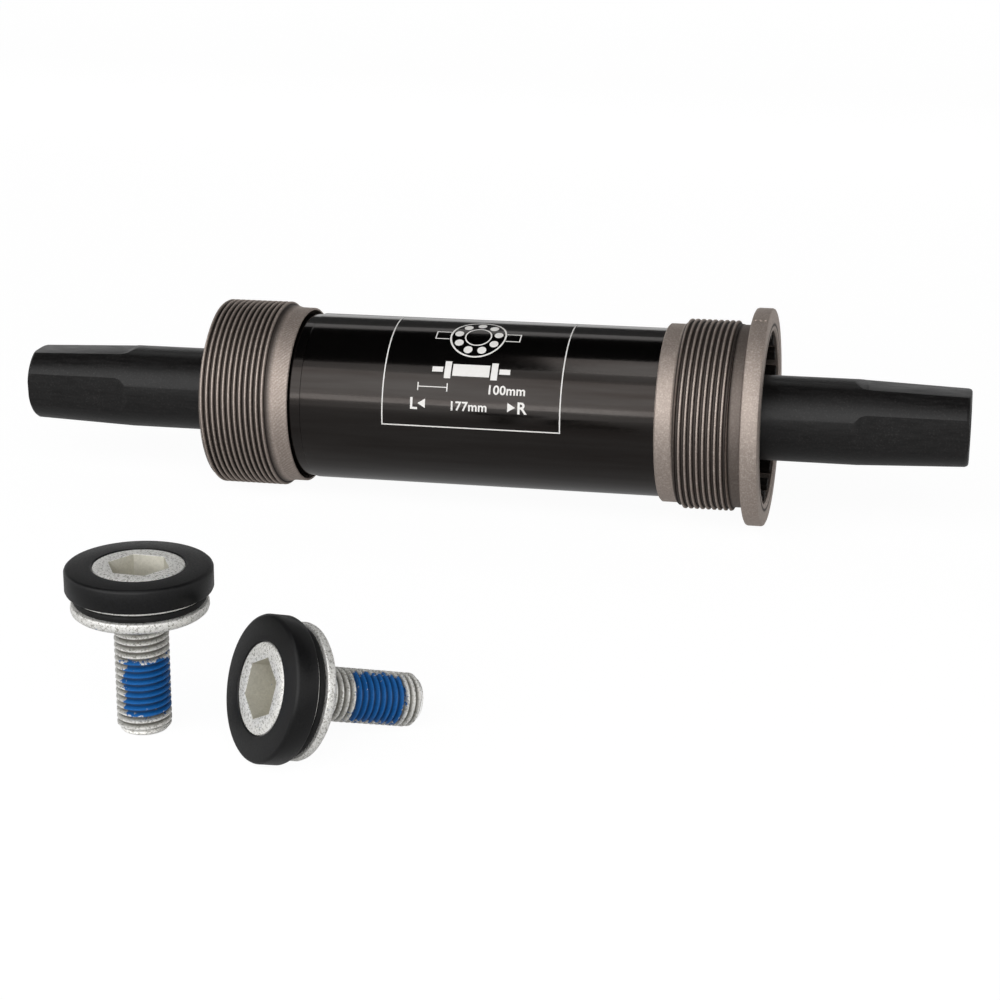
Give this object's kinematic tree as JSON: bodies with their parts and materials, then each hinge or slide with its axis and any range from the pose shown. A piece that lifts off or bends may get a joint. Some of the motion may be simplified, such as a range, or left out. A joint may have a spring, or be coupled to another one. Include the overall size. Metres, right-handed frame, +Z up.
{
  "type": "cartridge bottom bracket",
  "caption": "Square-taper cartridge bottom bracket for a 100 mm threaded shell, with a flanged right cup, a loose left cup, and its crank bolts lying beside it.",
  "frame": {"origin": "on the spindle axis, halfway between the two end faces of the 100 mm shell that the bracket screws into", "axes": "+X along the spindle to the flanged right-hand side, +Z up, -Y to the front"},
  "size_m": [0.177, 0.1465, 0.0396],
  "materials": {
    "sleeve_black": "gloss",
    "cup_steel": "satin",
    "spindle_black": "satin",
    "bearing_steel": "polished",
    "cage_steel": "satin",
    "shield_rubber": "matte",
    "spring_steel": "satin",
    "spacer_plastic": "matte",
    "bolt_steel": "satin",
    "ring_plastic": "satin",
    "o_ring_rubber": "matte"
  },
  "bodies": {
    "cartridge": {"cartridge_sleeve": "sleeve_black", "drive_cup": "cup_steel", "spacer_tube": "spacer_plastic", "left_outer_race": "bearing_steel", "left_retaining_ring": "spring_steel", "left_dust_seal": "shield_rubber", "left_inboard_shield": "shield_rubber", "left_outboard_shield": "shield_rubber", "right_outer_race": "bearing_steel", "right_retaining_ring": "spring_steel", "right_dust_seal": "shield_rubber", "right_inboard_shield": "shield_rubber", "right_outboard_shield": "shield_rubber"},
    "spindle_shaft": {"spindle": "spindle_black", "left_inner_race": "bearing_steel", "right_inner_race": "bearing_steel"},
    "left_cup_body": {"left_cup": "cup_steel"},
    "left_ball_set": {"left_balls": "bearing_steel", "left_cage": "cage_steel"},
    "right_ball_set": {"right_balls": "bearing_steel", "right_cage": "cage_steel"},
    "upright_bolt_body": {"upright_bolt": "bolt_steel", "upright_o_ring": "o_ring_rubber", "upright_cap_ring": "ring_plastic"},
    "lying_bolt_body": {"lying_bolt": "bolt_steel", "lying_o_ring": "o_ring_rubber", "lying_cap_ring": "ring_plastic"}
  },
  "joints": [
    {"name": "spindle_spin", "type": "hinge", "parent": "cartridge", "child": "spindle_shaft", "pos_m": [0, 0, 0], "axis": [1, 0, 0], "continuous": true},
    {"name": "left_ball_orbit", "type": "hinge", "parent": "cartridge", "child": "left_ball_set", "pos_m": [-0.035, 0, 0], "axis": [1, 0, 0], "continuous": true},
    {"name": "right_ball_orbit", "type": "hinge", "parent": "cartridge", "child": "right_ball_set", "pos_m": [0.035, 0, 0], "axis": [1, 0, 0], "continuous": true},
    {"name": "left_cup_slide", "type": "slide", "parent": "cartridge", "child": "left_cup_body", "axis": [-1, 0, 0], "range_m": [0, 0.066]},
    {"name": "upright_bolt_lift", "type": "slide", "parent": "cartridge", "child": "upright_bolt_body", "axis": [0.0246, 0, 0.9997], "range_m": [0, 0.06]},
    {"name": "lying_bolt_lift", "type": "slide", "parent": "cartridge", "child": "lying_bolt_body", "axis": [0.0246, 0, 0.9997], "range_m": [0, 0.06]}
  ],
  "couplings": [
    {"joint": "left_ball_orbit", "follows": "spindle_spin", "ratio": 0.4195},
    {"joint": "right_ball_orbit", "follows": "spindle_spin", "ratio": 0.4195}
  ]
}
